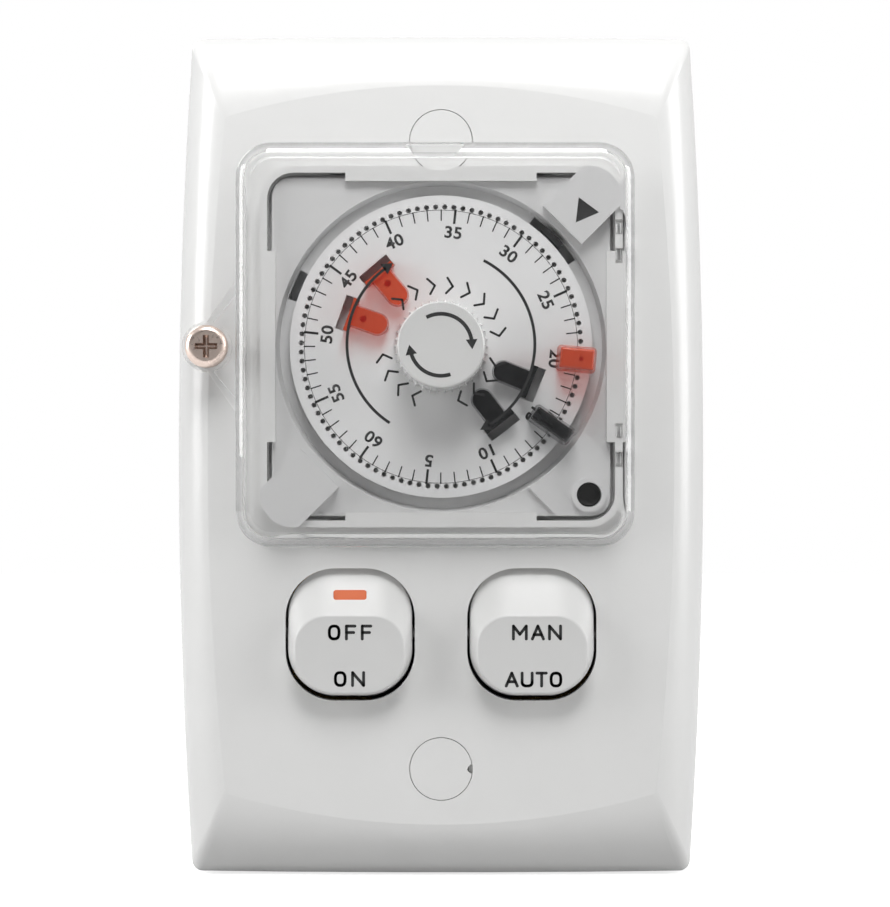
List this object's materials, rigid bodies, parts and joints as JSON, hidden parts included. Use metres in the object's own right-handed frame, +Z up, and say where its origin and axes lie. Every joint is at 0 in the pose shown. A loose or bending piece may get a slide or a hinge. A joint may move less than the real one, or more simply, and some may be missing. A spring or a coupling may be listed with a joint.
{
  "type": "timer light switch",
  "caption": "Wall plate with a mechanical dial timer under a hinged clear cover, plug-in tappets, and two rocker switches below.",
  "frame": {"origin": "on the wall plane, midway between the two fixing holes of the plate", "axes": "+X right as seen from the front, +Y into the wall, +Z up the plate's length"},
  "size_m": [0.071, 0.0531, 0.113],
  "materials": {
    "white_moulding": "moulded white gloss plastic",
    "timer_moulding": "moulded off-white plastic",
    "clear_plastic": "clear moulded polycarbonate",
    "orange_plastic": "orange-red plastic",
    "grey_plastic": "smoky dark grey plastic",
    "black_plastic": "black plastic",
    "gear_plastic": "natural acetal",
    "nickel": "nickel-plated steel",
    "steel": "bright steel",
    "brass": "brass"
  },
  "bodies": {
    "housing": {"wall_plate": "white_moulding", "screw_cap_top": "white_moulding", "screw_cap_bottom": "white_moulding", "timer_front": "timer_moulding", "pointer_clamp": "timer_moulding", "blank_clamp": "timer_moulding", "timer_case": "timer_moulding", "timer_terminals": "brass", "motor_plate": "steel", "motor": "steel", "lever_pin": "steel", "timer_switch": "black_plastic", "cover_insert": "brass", "hinge_pins": "steel", "left_switch_body": "white_moulding", "left_common_terminal": "brass", "left_way_terminals": "brass", "left_terminal_screws": "steel", "right_switch_body": "white_moulding", "right_common_terminal": "brass", "right_way_terminals": "brass", "right_terminal_screws": "steel"},
    "dial": {"dial_disc": "timer_moulding", "dial_knob": "white_moulding", "dial_shaft": "steel", "dial_gear": "black_plastic"},
    "pinion": {"motor_pinion": "steel"},
    "cover": {"clear_cover": "clear_plastic"},
    "cover_screw": {"cover_screw": "nickel"},
    "trip_lever": {"trip_lever": "black_plastic"},
    "switch_button": {"timer_switch_button": "orange_plastic"},
    "on_tappet": {"on_tappet": "orange_plastic"},
    "off_tappet": {"off_tappet": "grey_plastic"},
    "spare_on_tappet_1": {"spare_on_tappet_1": "orange_plastic"},
    "spare_on_tappet_2": {"spare_on_tappet_2": "orange_plastic"},
    "spare_off_tappet_1": {"spare_off_tappet_1": "grey_plastic"},
    "spare_off_tappet_2": {"spare_off_tappet_2": "grey_plastic"},
    "left_rocker": {"left_rocker": "white_moulding", "on_marker": "orange_plastic", "left_plunger": "gear_plastic", "left_spring": "steel"},
    "right_rocker": {"right_rocker": "white_moulding", "right_plunger": "gear_plastic", "right_spring": "steel"},
    "left_contact": {"left_contact_lever": "brass"},
    "right_contact": {"right_contact_lever": "brass"}
  },
  "joints": [
    {"name": "cover_hinge", "type": "hinge", "parent": "housing", "child": "cover", "pos_m": [0.0244, -0.01035, 0.0144], "axis": [0, 0, 1], "range_deg": [0, 90]},
    {"name": "cover_screw_travel", "type": "slide", "parent": "cover", "child": "cover_screw", "axis": [0, -1, 0], "range_m": [0, 0.0066]},
    {"name": "dial_spin", "type": "hinge", "parent": "housing", "child": "dial", "pos_m": [0, -0.011, 0.0144], "axis": [0, 1, 0], "continuous": true},
    {"name": "pinion_spin", "type": "hinge", "parent": "housing", "child": "pinion", "pos_m": [0, -0.005, -0.0024], "axis": [0, 1, 0], "continuous": true},
    {"name": "trip_lever_swing", "type": "hinge", "parent": "housing", "child": "trip_lever", "pos_m": [0.01237, -0.005, 0.02635], "axis": [0, 1, 0], "range_deg": [0, 8]},
    {"name": "switch_button_travel", "type": "slide", "parent": "housing", "child": "switch_button", "axis": [1, 0, 0], "range_m": [0, 0.0007]},
    {"name": "on_tappet_pull", "type": "slide", "parent": "dial", "child": "on_tappet", "axis": [0, -1, 0], "range_m": [0, 0.0018]},
    {"name": "off_tappet_pull", "type": "slide", "parent": "dial", "child": "off_tappet", "axis": [0, -1, 0], "range_m": [0, 0.0018]},
    {"name": "spare_on_tappet_1_pull", "type": "slide", "parent": "dial", "child": "spare_on_tappet_1", "axis": [0, -1, 0], "range_m": [0, 0.002]},
    {"name": "spare_on_tappet_2_pull", "type": "slide", "parent": "dial", "child": "spare_on_tappet_2", "axis": [0, -1, 0], "range_m": [0, 0.002]},
    {"name": "spare_off_tappet_1_pull", "type": "slide", "parent": "dial", "child": "spare_off_tappet_1", "axis": [0, -1, 0], "range_m": [0, 0.002]},
    {"name": "spare_off_tappet_2_pull", "type": "slide", "parent": "dial", "child": "spare_off_tappet_2", "axis": [0, -1, 0], "range_m": [0, 0.002]},
    {"name": "left_rocker_swing", "type": "hinge", "parent": "housing", "child": "left_rocker", "pos_m": [-0.01215, -0.005, -0.024], "axis": [1, 0, 0], "range_deg": [0, 12]},
    {"name": "left_contact_tilt", "type": "hinge", "parent": "housing", "child": "left_contact", "pos_m": [-0.01215, 0.00645, -0.024], "axis": [1, 0, 0], "range_deg": [-16, 0]},
    {"name": "right_rocker_swing", "type": "hinge", "parent": "housing", "child": "right_rocker", "pos_m": [0.01215, -0.005, -0.024], "axis": [1, 0, 0], "range_deg": [0, 12]},
    {"name": "right_contact_tilt", "type": "hinge", "parent": "housing", "child": "right_contact", "pos_m": [0.01215, 0.00645, -0.024], "axis": [1, 0, 0], "range_deg": [-16, 0]}
  ],
  "couplings": [
    {"joint": "pinion_spin", "follows": "dial_spin", "ratio": -6},
    {"joint": "switch_button_travel", "follows": "trip_lever_swing", "m_per_rad": 0.005},
    {"joint": "left_contact_tilt", "follows": "left_rocker_swing", "ratio": -1.3333},
    {"joint": "right_contact_tilt", "follows": "right_rocker_swing", "ratio": -1.3333}
  ]
}
